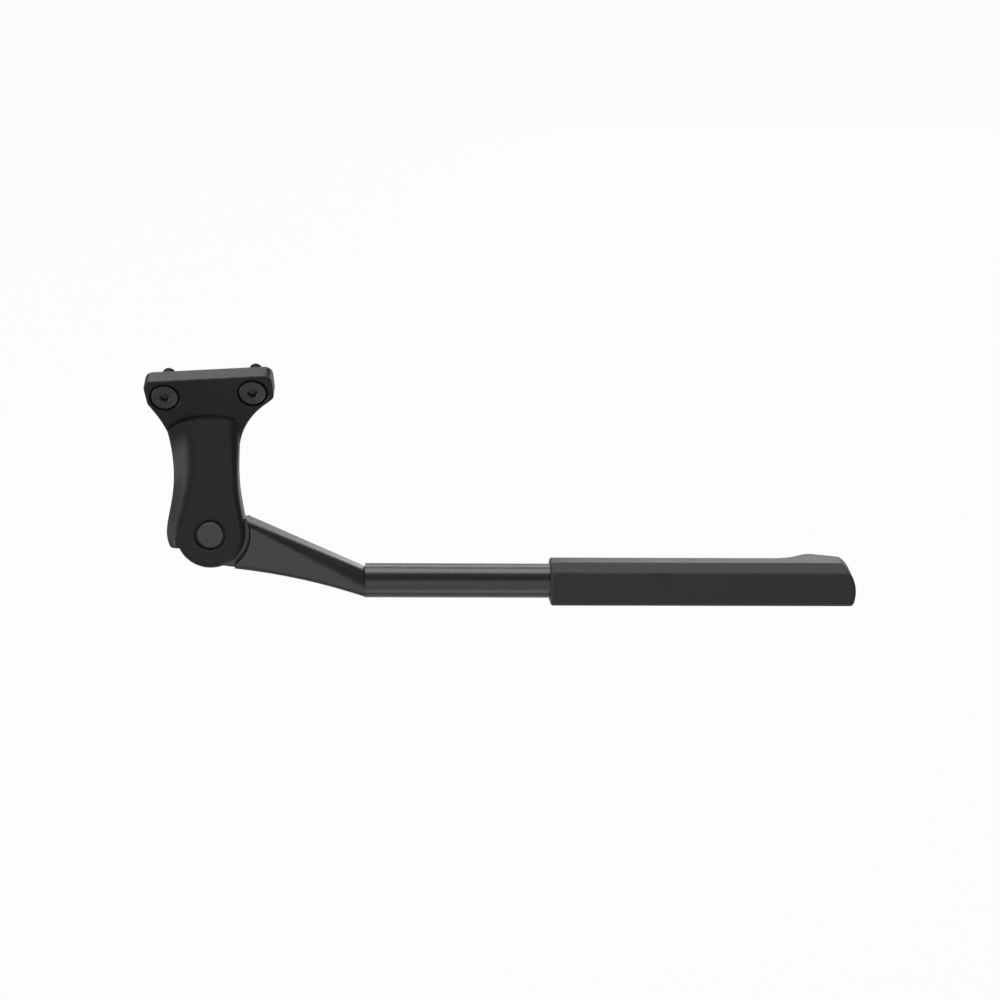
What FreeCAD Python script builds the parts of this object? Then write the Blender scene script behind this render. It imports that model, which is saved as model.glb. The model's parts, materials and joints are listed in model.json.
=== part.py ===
import FreeCAD, Part
import math
import os

# Bicycle side stand for direct mounting, folded up.
# A one-piece bracket carries two M6 bolts and a forked hub. The forged leg turns on the hub pin,
# a spring plunger drops into a notch at each end of its travel, and the foot slides on the bar.
#
# Row frame, in millimetres: the origin is the middle of the bracket's mounting face, between
# the bolts. +X runs along the bolts towards the rear wheel, +Y inboard, +Z up.
# Hinge frame: origin on the pin's axis at the fork's outer face, u along the folded leg,
# w along the pin (inboard), v up the neck. The hinge leans outwards and toes in, so the leg
# tucks in when folded and splays when down. The leg's frame is the hinge's, drooped by leg_dip.

V = FreeCAD.Vector

# Mounting plate and bolts
bolt_pitch = 40.0
plate_thickness = 8.5
plate_half_width = 29.3
plate_top = 8.6
ear_drop_rear = 3.6
ear_drop_front = 3.4
ear_taper = 0.9
plate_foot = 27.0
plate_corner = 4.0
ear_corner = 3.4
flank_radius_rear = 35.0
flank_radius_front = 52.0
flank_corner_rear = 17.9
flank_corner_front = 19.7
plate_edge_round = 1.1
bolt_radius = 3.0
bolt_shank_radius = 2.68
bolt_shank_stand_out = 0.3
bolt_hole_clearance = 0.2
bolt_head_radius = 6.1
bolt_head_height = 3.4
bolt_head_bevel = 0.6
head_recess_clearance = 0.8
bolt_reach = 12.9
bolt_socket_width = 4.0
bolt_socket_depth = 2.2
recess_rim_bevel = 0.4
bolt_tip_bevel = 0.8

# Hinge place and attitude
hinge_x = -4.7
hinge_y = -32.0
hinge_z = -60.8
hinge_lean = 24.0
hinge_toe = 4.5
leg_dip = 4.0
fold_travel = 104.0

# Neck and fork
fork_depth = 20.0
fork_radius = 15.8
fork_round_outer = 2.6
fork_round_inner = 0.8
ear_thickness = 5.5
waist_half_width = 14.8
lug_bottom = -5.2
neck_top = 57.0
neck_cap_radius = 31.0
neck_cap_u = 3.5
neck_cap_v = 24.7
neck_cap_round = 1.8
flank_back_round = 1.5
flank_front_round = 1.2
# Neck sections from the lug up: height, front flank and rear flank beyond the waist,
# crease of the front bevel, depth of that bevel, crease's radius, rear corner's radius
neck_sections = [
    (lug_bottom, 3.9, -0.4, -16.6, 3.6, 4.0, 2.6),
    (1.0, 5.2, 0.9, -15.4, 4.2, 6.0, 2.8),
    (13.0, 2.7, 0.0, -11.6, 5.0, 9.0, 3.0),
    (29.0, 0.0, 0.0, -7.2, 6.6, 12.0, 3.4),
    (44.0, 0.6, 1.8, -5.0, 5.4, 14.0, 5.0),
    (neck_top, 4.0, 6.5, -4.4, 1.2, 14.0, 7.0),
]
slot_clearance = 0.5
roof_clearance = 0.4

# Pin, washers and bush
pin_radius = 4.0
pin_clearance = 0.03
pin_head_radius = 6.1
pin_head_height = 2.4
pin_head_bevel = 0.5
pin_recess_radius = 7.2
pin_recess_bevel = 0.3
pin_tail = 3.6
pin_tail_bevel = 0.5
washer_thickness = 0.5
washer_radius = 8.0
washer_hole_clearance = 0.1
side_play = 0.1
bush_wall = 1.5
bush_clearance = 0.05
tail_washer_radius = 7.0
tail_washer_thickness = 1.0
ring_thickness = 1.0
ring_groove_depth = 0.5
ring_width = 2.2
ring_gap_angle = 50.0
ring_eye_radius = 1.6
ring_eye_hole = 0.6
ring_eye_pitch = 5.6

# Spring plunger
bore_radius = 4.0
bore_clearance = 0.08
bore_top = 40.0
seat_thickness = 1.2
seat_clearance = 0.15
plunger_lift = 0.3
plunger_travel = 1.2
plunger_length = 9.0
plunger_tip_radius = 5.0
notch_clearance = 0.25
guide_radius = 2.0
guide_length = 4.5
spring_wire = 1.0
spring_radius = 3.1
spring_turns = 6.0

# Leg: hub tongue, tapered arm and round bar
hub_radius = 14.8
arm_depth = 16.0
arm_gap_radius = 17.7
arm_top_slope = 23.5
arm_top_offset = 12.33
arm_under_slope = 7.3
arm_under_offset = 15.0
arm_end = 71.0
arm_under_mid_u = 38.0
arm_under_mid_v = -20.8
arm_under_end_v = -29.8
arm_under_round = 2.0
arm_mouth_bevel = 0.7
arm_heel_u = 11.0
arm_hollow_end = -50.0
bar_radius = 8.0
bar_drop = 23.3
facet_start = 1.8
facet_end = 6.2
facet_angle = 31.0
facet_blend_near = 5.0
facet_blend_far = 14.0
facet_ridge_round = 1.0
bar_setback = 31.0
bar_end_bevel = 1.0

# Foot sleeve
sleeve_start = 157.0
sleeve_size = 20.0
sleeve_bevel = 4.6
sleeve_low_bevel = 1.6
sleeve_blend = 3.0
sleeve_edge_round = 1.4
sleeve_fit = 0.06
sleeve_mouth_bevel = 0.8
sole_reach = 300.8
sole_radius = 16.5
sole_drop = 3.5
sole_slant = 5.0
sole_allowance = 2.0
toe_extent = 9.5
toe_setback = 34.0
toe_rise = 11.0
toe_flat = 6.0
toe_tip_extent = 0.0
toe_start_round = 12.0
toe_full_round = 6.0
toe_back_round = 9.0
slide_in = 20.0
slide_out = 40.0
bore_end_gap = 2.0
seal_thickness = 1.2
seal_width = 1.4
seal_bevel = 0.3
seal_squeeze_gap = 0.05
seal_groove_clearance = 0.05
seal_setback = 3.0

# Foot clamp screw
screw_place = 210.0
screw_radius = 2.5
screw_depth = 9.0
screw_head_radius = 4.75
screw_head_height = 2.7
screw_head_dome = 1.6
screw_socket_width = 3.0
screw_socket_depth = 1.5
screw_washer_radius = 5.0
screw_washer_thickness = 1.0
screw_slot_clearance = 0.3
screw_face_gap = 0.05

# Worked-out sizes shared by several pieces
mid_w = fork_depth / 2
slot_half = mid_w - ear_thickness
tongue_half = slot_half - washer_thickness - side_play
slot_radius = hub_radius + slot_clearance
bush_radius = pin_radius + bush_wall
pin_groove_w = fork_depth + tail_washer_thickness
plunger_tip = hub_radius + plunger_lift
notch_centre = plunger_tip - plunger_travel + plunger_tip_radius
bar_end = sole_reach - bar_setback
place_tolerance = 0.001
far = 200.0
smooth_angle = 0.1

hinge_frame = FreeCAD.Placement(
    V(hinge_x, hinge_y, hinge_z),
    FreeCAD.Rotation(V(1, 0, 0), -hinge_lean) * FreeCAD.Rotation(V(0, 0, 1), hinge_toe))
leg_frame = hinge_frame * FreeCAD.Placement(V(0, 0, 0), FreeCAD.Rotation(V(0, 1, 0), leg_dip))


# Outline and solid helpers

def corner_wire(corners, place):
    """Closed wire of straight runs with a tangent arc at each corner.

    corners holds (a, b, radius) in order; place turns (a, b) into a 3-D point.
    """
    edges = []
    last = None
    first = None
    count = len(corners)
    for i in range(count):
        a, b, radius = corners[i]
        here = place(a, b)
        before = place(*corners[i - 1][:2])
        after = place(*corners[(i + 1) % count][:2])
        to_before = (before - here).normalize()
        to_after = (after - here).normalize()
        if radius <= 0:
            start = here
            end = here
        else:
            half = to_before.getAngle(to_after) / 2
            reach = radius / math.tan(half)
            start = here + to_before * reach
            end = here + to_after * reach
            inward = (to_before + to_after).normalize()
            middle = here + inward * (radius / math.sin(half) - radius)
        if last is not None:
            edges.append(Part.LineSegment(last, start).toShape())
        else:
            first = start
        if radius > 0:
            edges.append(Part.Arc(start, middle, end).toShape())
        last = end
    edges.append(Part.LineSegment(last, first).toShape())
    return Part.Wire(edges)


def prism(wire, direction):
    """Solid made by sweeping a flat wire's face along a vector."""
    return Part.Face(wire).extrude(direction)


def plane_uv(w):
    """Placing function for outlines drawn in the plane of the leg's swing, at depth w."""
    return lambda u, v: V(u, w, v)


def rod(radius, w_from, w_to, u=0.0, v=0.0):
    """Cylinder along the pin's direction."""
    return Part.makeCylinder(radius, w_to - w_from, V(u, w_from, v), V(0, 1, 0))


def ring(outer, inner, w_from, w_to):
    """Flat ring round the pin's axis."""
    return rod(outer, w_from, w_to).cut(rod(inner, w_from - 1, w_to + 1))


def hexagon_prism(width, start, direction):
    """Six-sided prism of the given width across flats, standing on start along direction."""
    radius = width / math.sqrt(3)
    points = []
    for i in range(7):
        angle = math.radians(60 * i)
        points.append(V(radius * math.cos(angle), radius * math.sin(angle), 0))
    solid = Part.Face(Part.makePolygon(points)).extrude(V(0, 0, direction.Length))
    solid.Placement = FreeCAD.Placement(start, FreeCAD.Rotation(V(0, 0, 1), direction))
    return solid


def edges_where(shape, test):
    """Edges whose every sample point passes a test."""
    found = []
    for edge in shape.Edges:
        if all(test(point) for point in edge.discretize(5)):
            found.append(edge)
    return found


def sharp_edges(shape):
    """Edges at which the two faces don't run smoothly into each other."""
    found = []
    for edge in shape.Edges:
        faces = shape.ancestorsOfType(edge, Part.Face)
        if len(faces) != 2:
            continue
        point = edge.valueAt((edge.FirstParameter + edge.LastParameter) / 2)
        normals = [face.normalAt(*face.Surface.parameter(point)) for face in faces]
        if normals[0].getAngle(normals[1]) > smooth_angle:
            found.append(edge)
    return found


# Bracket

def plate_outline(place):
    """The plate's outline, which narrows in two hollow curves into the neck."""
    rear = hinge_x + waist_half_width
    front = hinge_x - waist_half_width
    run_out = -plate_foot - plate_thickness
    return corner_wire([
        (-plate_half_width, plate_top, plate_corner),
        (plate_half_width, plate_top, plate_corner),
        (plate_half_width, -ear_drop_rear, ear_corner),
        (rear, -flank_corner_rear, flank_radius_rear),
        (rear, run_out, 0),
        (front, run_out, 0),
        (front, -flank_corner_front, flank_radius_front),
        (-plate_half_width + ear_taper, -ear_drop_front, ear_corner),
    ], place)


def plate():
    """Mounting plate with its softened outer edge."""
    body = prism(plate_outline(lambda x, z: V(x, -plate_thickness, z)), V(0, plate_thickness, 0))
    outer = edges_where(body, lambda p: abs(p.y + plate_thickness) < place_tolerance
                        and p.z > -flank_corner_front)
    body = body.makeFillet(plate_edge_round, outer)
    low = Part.makeBox(far, far, far, V(-far / 2, -far / 2, -plate_foot - far))
    return body.cut(low)


def neck_section(v, front, rear, crease, bevel, crease_round, rear_round):
    """One cross-section of the neck: a broad soft bevel at the front flank, rounded at the rear."""
    left = -waist_half_width - front
    right = waist_half_width + rear
    return corner_wire([
        (crease, 0, crease_round),
        (right, 0, rear_round),
        (right, fork_depth, flank_back_round),
        (left, fork_depth, flank_back_round),
        (left, bevel, flank_front_round),
    ], lambda u, w: V(u, w, v))


def neck():
    """Neck lofted from the stop lug up to the plate, with an arched shoulder at its top."""
    body = Part.makeLoft([neck_section(*sizes) for sizes in neck_sections], True, False)
    cap = rod(neck_cap_radius, 0, fork_depth + 1, neck_cap_u, neck_cap_v)
    cap = cap.makeFillet(neck_cap_round, edges_where(cap, lambda p: abs(p.y) < place_tolerance))
    below = Part.makeBox(far, fork_depth + 2, far, V(-far / 2, -1, neck_cap_v - far))
    return body.common(cap.fuse(below))


def fork_blank():
    """Round end of the bracket before the slot is cut."""
    body = rod(fork_radius, 0, fork_depth)
    body = body.makeFillet(fork_round_outer, edges_where(body, lambda p: abs(p.y) < place_tolerance))
    return body.makeFillet(fork_round_inner, edges_where(
        body, lambda p: abs(p.y - fork_depth) < place_tolerance))


def line_foot(offset, angle):
    """Nearest point to the pin, and the direction, of a line at a signed offset from it."""
    turn = math.radians(angle)
    foot = (-offset * math.sin(turn), offset * math.cos(turn))
    return foot, (math.cos(turn), math.sin(turn))


def fork_slot():
    """Space between the fork's ears that the hub tongue turns and swings in."""
    roof_foot, roof_way = line_foot(arm_top_offset + roof_clearance, -arm_top_slope - leg_dip)
    wall_foot, wall_way = line_foot(-slot_radius - slot_clearance,
                                    -arm_under_slope - leg_dip - fold_travel)
    roof_end = (roof_foot[0] + far * roof_way[0], roof_foot[1] + far * roof_way[1])
    wall_end = (wall_foot[0] + far * wall_way[0], wall_foot[1] + far * wall_way[1])
    outline = corner_wire([
        (roof_foot[0], roof_foot[1], 0),
        (roof_end[0], roof_end[1], 0),
        (wall_end[0], wall_end[1], 0),
        (wall_foot[0], wall_foot[1], 0),
    ], plane_uv(ear_thickness))
    swing = prism(outline, V(0, 2 * slot_half, 0))
    return swing.fuse(rod(slot_radius, ear_thickness, fork_depth - ear_thickness))


def bolt_bores():
    """Clearance hole of each mounting bolt and the recess for its head, with a bevelled rim."""
    radius = bolt_head_radius + head_recess_clearance
    cutters = []
    for side in (-1, 1):
        face = V(side * bolt_pitch / 2, -plate_thickness, 0)
        cutters.append(Part.makeCylinder(bolt_radius + bolt_hole_clearance, plate_thickness + 1,
                                         face, V(0, 1, 0)))
        cutters.append(Part.makeCylinder(radius, bolt_head_height, face, V(0, 1, 0)))
        cutters.append(Part.makeCone(radius + recess_rim_bevel, radius, recess_rim_bevel,
                                     face, V(0, 1, 0)))
    return cutters


def bracket():
    """Plate, neck and fork as one casting, machined for bolts, pin and spring plunger."""
    hinge_part = neck().fuse(fork_blank())
    cutters = [
        fork_slot(),
        rod(pin_radius + pin_clearance, -1, fork_depth + 1),
        rod(pin_recess_radius, 0, pin_head_height),
        Part.makeCone(pin_recess_radius + pin_recess_bevel, pin_recess_radius, pin_recess_bevel,
                      V(0, 0, 0), V(0, 1, 0)),
        Part.makeCylinder(bore_radius, bore_top, V(0, mid_w, 0), V(0, 0, 1)),
    ]
    hinge_part.Placement = hinge_frame
    body = plate().fuse(hinge_part)
    behind = Part.makeBox(2 * far, far, 2 * far, V(-far, 0, -far))
    body = body.cut(behind)
    for cutter in cutters:
        cutter.Placement = hinge_frame * cutter.Placement
        body = body.cut(cutter)
    for cutter in bolt_bores():
        body = body.cut(cutter)
    return body.removeSplitter()


# Fasteners, pin and bearings

def mounting_bolt(side):
    """Low-head M6 bolt: hexagon socket, reduced shank in the plate, thread standing out behind."""
    x = side * bolt_pitch / 2
    face = -plate_thickness
    head = Part.makeCylinder(bolt_head_radius, bolt_head_height, V(x, face, 0), V(0, 1, 0))
    head = head.makeChamfer(bolt_head_bevel, edges_where(head, lambda p: abs(p.y - face) < place_tolerance))
    shank = Part.makeCylinder(bolt_shank_radius, bolt_reach / 2 - face, V(x, face, 0), V(0, 1, 0))
    thread = Part.makeCylinder(bolt_radius, bolt_reach - bolt_shank_stand_out,
                               V(x, bolt_shank_stand_out, 0), V(0, 1, 0))
    thread = thread.makeChamfer(bolt_tip_bevel, edges_where(
        thread, lambda p: abs(p.y - bolt_reach) < place_tolerance))
    thread = thread.makeChamfer(bolt_radius - bolt_shank_radius, edges_where(
        thread, lambda p: abs(p.y - bolt_shank_stand_out) < place_tolerance))
    socket = hexagon_prism(bolt_socket_width, V(x, face, 0), V(0, bolt_socket_depth, 0))
    return head.fuse(shank).fuse(thread).cut(socket).removeSplitter()


def pivot_pin():
    """Headed hub pin with a groove for its retaining ring."""
    end = pin_groove_w + ring_thickness + pin_tail - tail_washer_thickness
    head = rod(pin_head_radius, 0, pin_head_height)
    head = head.makeChamfer(pin_head_bevel, edges_where(head, lambda p: abs(p.y) < place_tolerance))
    shank = rod(pin_radius, 0, end)
    shank = shank.makeChamfer(pin_tail_bevel, edges_where(shank, lambda p: abs(p.y - end) < place_tolerance))
    groove = ring(pin_radius + 1, pin_radius - ring_groove_depth,
                  pin_groove_w, pin_groove_w + ring_thickness)
    return head.fuse(shank).removeSplitter().cut(groove)


def retaining_ring():
    """Open spring ring with an eye at each end."""
    inner = pin_radius - ring_groove_depth
    w_from = pin_groove_w
    w_to = pin_groove_w + ring_thickness
    body = ring(inner + ring_width, inner, w_from, w_to)
    middle = inner + ring_width / 2
    half_gap = math.radians(ring_gap_angle / 2)
    mouth = corner_wire([
        (0, 0, 0),
        (far * math.sin(-half_gap), -far * math.cos(half_gap), 0),
        (far * math.sin(half_gap), -far * math.cos(half_gap), 0),
    ], plane_uv(w_from - 1))
    body = body.cut(prism(mouth, V(0, ring_thickness + 2, 0)))
    for side in (-1, 1):
        u = side * ring_eye_pitch / 2
        v = -middle - ring_eye_radius / 2
        eye = rod(ring_eye_radius, w_from, w_to, u, v)
        body = body.fuse(eye).cut(rod(ring_eye_hole, w_from - 1, w_to + 1, u, v))
    shaft = rod(inner, w_from - 1, w_to + 1)
    return body.cut(shaft).removeSplitter()


def thrust_washer(w_from):
    """Thin bearing washer between an ear and the tongue."""
    return ring(washer_radius, pin_radius + washer_hole_clearance, w_from, w_from + washer_thickness)


def hub_bush():
    """Plain bush pressed into the tongue, running on the pin."""
    return ring(bush_radius, pin_radius + bush_clearance, mid_w - tongue_half, mid_w + tongue_half)


def tail_washer():
    """Plain washer under the retaining ring."""
    return ring(tail_washer_radius, pin_radius + washer_hole_clearance,
                fork_depth, fork_depth + tail_washer_thickness)


# Spring plunger

def detent_plunger():
    """Round-nosed plunger that presses on the hub, with a spigot for its spring."""
    radius = bore_radius - bore_clearance
    rim_angle = math.asin(radius / plunger_tip_radius)
    rim_drop = plunger_tip_radius * (1 - math.cos(rim_angle))
    nose_middle = V(plunger_tip_radius * math.sin(rim_angle / 2), 0,
                    plunger_tip + plunger_tip_radius * (1 - math.cos(rim_angle / 2)))
    top = plunger_tip + plunger_length
    outline = Part.Wire([
        Part.Arc(V(0, 0, plunger_tip), nose_middle, V(radius, 0, plunger_tip + rim_drop)).toShape(),
        Part.LineSegment(V(radius, 0, plunger_tip + rim_drop), V(radius, 0, top)).toShape(),
        Part.LineSegment(V(radius, 0, top), V(guide_radius, 0, top)).toShape(),
        Part.LineSegment(V(guide_radius, 0, top), V(guide_radius, 0, top + guide_length)).toShape(),
        Part.LineSegment(V(guide_radius, 0, top + guide_length),
                         V(0, 0, top + guide_length)).toShape(),
        Part.LineSegment(V(0, 0, top + guide_length), V(0, 0, plunger_tip)).toShape(),
    ])
    body = Part.Face(outline).revolve(V(0, 0, 0), V(0, 0, 1), 360)
    body.translate(V(0, mid_w, 0))
    return body


def spring_bounds():
    """Lower and upper end of the spring's room in the bore."""
    return plunger_tip + plunger_length, bore_top - seat_thickness


def detent_spring():
    """Compression spring of round wire with its ends ground flat."""
    low, high = spring_bounds()
    pitch = (high - low - spring_wire) / spring_turns
    helix = Part.makeHelix(pitch, pitch * spring_turns, spring_radius)
    section = Part.Wire([Part.Circle(V(spring_radius, 0, 0), V(0, 1, 0),
                                     spring_wire / 2).toShape()])
    body = Part.Wire(helix.Edges).makePipeShell([section], True, True)
    body.translate(V(0, mid_w, low + spring_wire / 2))
    return body


def spring_seat():
    """Hard disc at the top of the bore that the spring bears on."""
    return Part.makeCylinder(bore_radius - seat_clearance, seat_thickness,
                             V(0, mid_w, bore_top - seat_thickness), V(0, 0, 1))


# Leg

def arm_outline(place):
    """Side view of the arm, from the hollow end by the fork to the bar."""
    top_foot, top_way = line_foot(arm_top_offset, -arm_top_slope)
    under_foot, under_way = line_foot(-arm_under_offset, -arm_under_slope)
    top_run = math.sqrt(arm_gap_radius ** 2 - arm_top_offset ** 2)
    top_corner = (top_foot[0] + top_run * top_way[0], top_foot[1] + top_run * top_way[1])
    heel_run = (arm_heel_u - under_foot[0]) / under_way[0]
    heel = (arm_heel_u, under_foot[1] + heel_run * under_way[1])
    hollow_end = math.radians(arm_hollow_end)
    hollow_low = (arm_gap_radius * math.cos(hollow_end), arm_gap_radius * math.sin(hollow_end))
    hollow_mid = (arm_gap_radius * math.cos(hollow_end / 2),
                  arm_gap_radius * math.sin(hollow_end / 2))
    end_run = (arm_end - top_foot[0]) / top_way[0]
    top_end = (arm_end, top_foot[1] + end_run * top_way[1])
    return Part.Wire([
        Part.LineSegment(place(*heel), place(*hollow_low)).toShape(),
        Part.Arc(place(*hollow_low), place(*hollow_mid), place(*top_corner)).toShape(),
        Part.LineSegment(place(*top_corner), place(*top_end)).toShape(),
        Part.LineSegment(place(*top_end), place(arm_end, arm_under_end_v)).toShape(),
        Part.Arc(place(arm_end, arm_under_end_v), place(arm_under_mid_u, arm_under_mid_v),
                 place(*heel)).toShape(),
    ])


def arm_facets():
    """The two planes that slope off the arm's upper corners, broader towards the bar."""
    foot, way = line_foot(arm_top_offset, -arm_top_slope)
    tilt = math.radians(facet_angle)
    near_run = math.sqrt(arm_gap_radius ** 2 - arm_top_offset ** 2)
    end_run = (arm_end - foot[0]) / way[0]
    cutters = []
    for side in (-1, 1):
        w = mid_w + side * arm_depth / 2
        near, end = [V(foot[0] + run * way[0] + drop * way[1], w, foot[1] + run * way[1]
                       - drop * way[0]) for run, drop in ((near_run, facet_start),
                                                          (end_run, facet_end))]
        along = (end - near).normalize()
        up = V(-along.z, 0, along.x)
        slope = up * math.cos(tilt) - V(0, side, 0) * math.sin(tilt)
        outward = up * math.sin(tilt) + V(0, side, 0) * math.cos(tilt)
        low = near - along * far
        high = end + along * far
        corners = [low, high, high + slope * far, low + slope * far, low]
        cutters.append(Part.Face(Part.makePolygon(corners)).extrude(outward * far))
    return cutters


def arm():
    """Tapered arm, as deep as the bar: sloped upper corners and a bevelled hollow end."""
    body = prism(arm_outline(plane_uv(mid_w - arm_depth / 2)), V(0, arm_depth, 0))
    for cutter in arm_facets():
        body = body.cut(cutter)
    half_length = (arm_end - arm_gap_radius) / 2
    straight = [edge for edge in body.Edges if edge.BoundBox.XLength > half_length
                and isinstance(edge.Curve, Part.Line)]
    creases = [edge for edge in straight if edge.BoundBox.YLength < place_tolerance]
    body = body.makeFillet(facet_blend_near, facet_blend_far, creases)
    ridges = [edge for edge in body.Edges if edge.BoundBox.XLength > half_length
              and edge.BoundBox.YLength > arm_depth / 10]
    body = body.makeFillet(facet_ridge_round, ridges)
    under = [edge for edge in body.Edges if edge.BoundBox.XLength > half_length
             and isinstance(edge.Curve, Part.Circle)]
    body = body.makeFillet(arm_under_round, under)
    wide = arm_gap_radius + arm_mouth_bevel
    for side in (-1, 1):
        face = V(0, mid_w + side * arm_depth / 2, 0)
        body = body.cut(Part.makeCone(wide, arm_gap_radius, arm_mouth_bevel, face, V(0, -side, 0)))
    return body


def tongue():
    """Hub disc and web that turn between the fork's ears."""
    top_foot, top_way = line_foot(arm_top_offset, -arm_top_slope)
    under_foot, under_way = line_foot(-hub_radius, -arm_under_slope)
    reach = arm_gap_radius + arm_depth / 2
    top_run = math.sqrt(reach ** 2 - arm_top_offset ** 2)
    under_run = math.sqrt(reach ** 2 - hub_radius ** 2)
    web = corner_wire([
        (top_foot[0], top_foot[1], 0),
        (top_foot[0] + top_run * top_way[0], top_foot[1] + top_run * top_way[1], 0),
        (under_foot[0] + under_run * under_way[0], under_foot[1] + under_run * under_way[1], 0),
        (under_foot[0], under_foot[1], 0),
    ], plane_uv(mid_w - tongue_half))
    body = prism(web, V(0, 2 * tongue_half, 0))
    body = body.fuse(rod(hub_radius, mid_w - tongue_half, mid_w + tongue_half))
    body = body.cut(rod(bush_radius, -1, fork_depth + 1))
    for turn in (0.0, fold_travel):
        angle = math.radians(90 + leg_dip + turn)
        groove = rod(plunger_tip_radius + notch_clearance, -1, fork_depth + 1,
                     notch_centre * math.cos(angle), notch_centre * math.sin(angle))
        body = body.cut(groove)
    return body


def bar():
    """Round bar that the foot slides on, with a tapped hole for the clamp screw."""
    body = Part.makeCylinder(bar_radius, bar_end - arm_end, V(arm_end, mid_w, -bar_drop), V(1, 0, 0))
    body = body.makeChamfer(bar_end_bevel, edges_where(body, lambda p: abs(p.x - bar_end) < place_tolerance))
    tapped = rod(screw_radius, mid_w + bar_radius - screw_depth, mid_w + bar_radius + 1,
                 screw_place, -bar_drop)
    return body.cut(tapped)


def leg():
    """One forging: hub tongue, arm and bar."""
    return arm().fuse(tongue()).fuse(bar()).removeSplitter()


# Foot

def sleeve_plan():
    """The foot seen along v: straight outside, with a toe that swells inboard."""
    outer = mid_w - sleeve_size / 2
    inner = mid_w + sleeve_size / 2
    toe_start = sole_reach - toe_setback
    toe_full = toe_start + toe_rise
    toe_back = toe_full + toe_flat
    plan_end = sole_reach + sole_allowance
    return corner_wire([
        (sleeve_start, outer, 0),
        (plan_end, outer, 0),
        (plan_end, inner + toe_tip_extent, 0),
        (toe_back, inner + toe_extent, toe_back_round),
        (toe_full, inner + toe_extent, toe_full_round),
        (toe_start, inner, toe_start_round),
        (sleeve_start, inner, 0),
    ], lambda u, w: V(u, w, -bar_drop - sleeve_size / 2))


def rim_edges(shape, height):
    """Edges of a prism's flat side at the given height, without its two square ends."""
    return [edge for edge in edges_where(shape, lambda p: abs(p.z - height) < place_tolerance)
            if edge.BoundBox.XLength > place_tolerance]


def sole_cutter():
    """Everything past the sole, which is rounded and a little longer on the inboard side."""
    middle = V(sole_reach - sole_radius, -far / 2, -bar_drop - sole_drop)
    block = Part.makeBox(far, far, far, V(middle.x, middle.y, middle.z - far / 2))
    cutter = block.cut(Part.makeCylinder(sole_radius, far, middle, V(0, 1, 0)))
    cutter.rotate(V(sole_reach, mid_w, 0), V(0, 0, 1), -sole_slant)
    return cutter


def foot_blank():
    """Outer form of the foot, rounded all over."""
    low = -bar_drop - sleeve_size / 2
    high = low + sleeve_size
    body = prism(sleeve_plan(), V(0, 0, sleeve_size))
    body = body.makeChamfer(sleeve_bevel, rim_edges(body, high))
    body = body.makeChamfer(sleeve_low_bevel, rim_edges(body, low))
    body = body.cut(sole_cutter())
    half_length = (sole_reach - sleeve_start) / 2
    level = edges_where(body, lambda p: abs(p.z - high + sleeve_bevel) < place_tolerance)
    shoulders = [edge for edge in level
                 if edge.BoundBox.XLength > half_length]
    body = body.makeFillet(sleeve_blend, shoulders)
    return body.makeFillet(sleeve_edge_round, sharp_edges(body))


def foot_sleeve():
    """Moulded foot: bevelled sleeve bored for the bar, with the seal's groove and the slot."""
    bore_end = bar_end + slide_in + bore_end_gap
    bore = Part.makeCylinder(bar_radius + sleeve_fit, bore_end - sleeve_start,
                             V(sleeve_start, mid_w, -bar_drop), V(1, 0, 0))
    bevel = Part.makeCone(bar_radius + sleeve_fit + sleeve_mouth_bevel, bar_radius + sleeve_fit,
                          sleeve_mouth_bevel, V(sleeve_start, mid_w, -bar_drop), V(1, 0, 0))
    room = seal_ring(seal_squeeze_gap + seal_thickness + seal_groove_clearance,
                     seal_width + 2 * seal_groove_clearance)
    return foot_blank().cut(bore.fuse(bevel).fuse(room)).cut(clamp_slot())


def seal_ring(rise, width):
    """Ring round the bar at the seal's place, rising above the bar's surface."""
    start = V(sleeve_start + seal_setback - width / 2, mid_w, -bar_drop)
    return Part.makeCylinder(bar_radius + rise, width, start, V(1, 0, 0))


def clamp_slot():
    """Long slot in the inboard wall that lets the foot slide past its clamp screw."""
    half = screw_radius + screw_slot_clearance
    low = screw_place - slide_out
    high = screw_place + slide_in
    length = V(0, sleeve_size, 0)
    ends = [Part.makeCylinder(half, sleeve_size, V(u, mid_w, -bar_drop), length) for u in (low, high)]
    middle = Part.makeBox(high - low, sleeve_size, 2 * half, V(low, mid_w, -bar_drop - half))
    return middle.fuse(ends)


def sleeve_seal():
    """Rubber ring in the sleeve's mouth that wipes the bar."""
    outer = seal_ring(seal_squeeze_gap + seal_thickness, seal_width)
    outer = outer.makeChamfer(seal_bevel, [edge for edge in outer.Edges
                                           if edge.Length > 1.5 * math.pi * bar_radius])
    return outer.cut(seal_ring(seal_squeeze_gap, far))


def screw_face():
    """Depth of the face that the clamp screw's washer lies on."""
    return mid_w + sleeve_size / 2 + screw_face_gap


def foot_washer():
    """Plain washer under the clamp screw's head."""
    outer = rod(screw_washer_radius, screw_face(), screw_face() + screw_washer_thickness,
                screw_place, -bar_drop)
    return outer.cut(rod(screw_radius + washer_hole_clearance, 0, far, screw_place, -bar_drop))


def foot_screw():
    """Domed clamp screw with a hexagon socket, screwed into the bar."""
    seat = screw_face() + screw_washer_thickness
    crown = seat + screw_head_height
    head = rod(screw_head_radius, seat, crown, screw_place, -bar_drop)
    head = head.makeFillet(screw_head_dome, edges_where(
        head, lambda p: abs(p.y - crown) < place_tolerance))
    shank = rod(screw_radius, mid_w + bar_radius - screw_depth, seat, screw_place, -bar_drop)
    socket = hexagon_prism(screw_socket_width, V(screw_place, crown - screw_socket_depth, -bar_drop),
                           V(0, screw_socket_depth + 1, 0))
    return head.fuse(shank).cut(socket)


# Assembly

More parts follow.
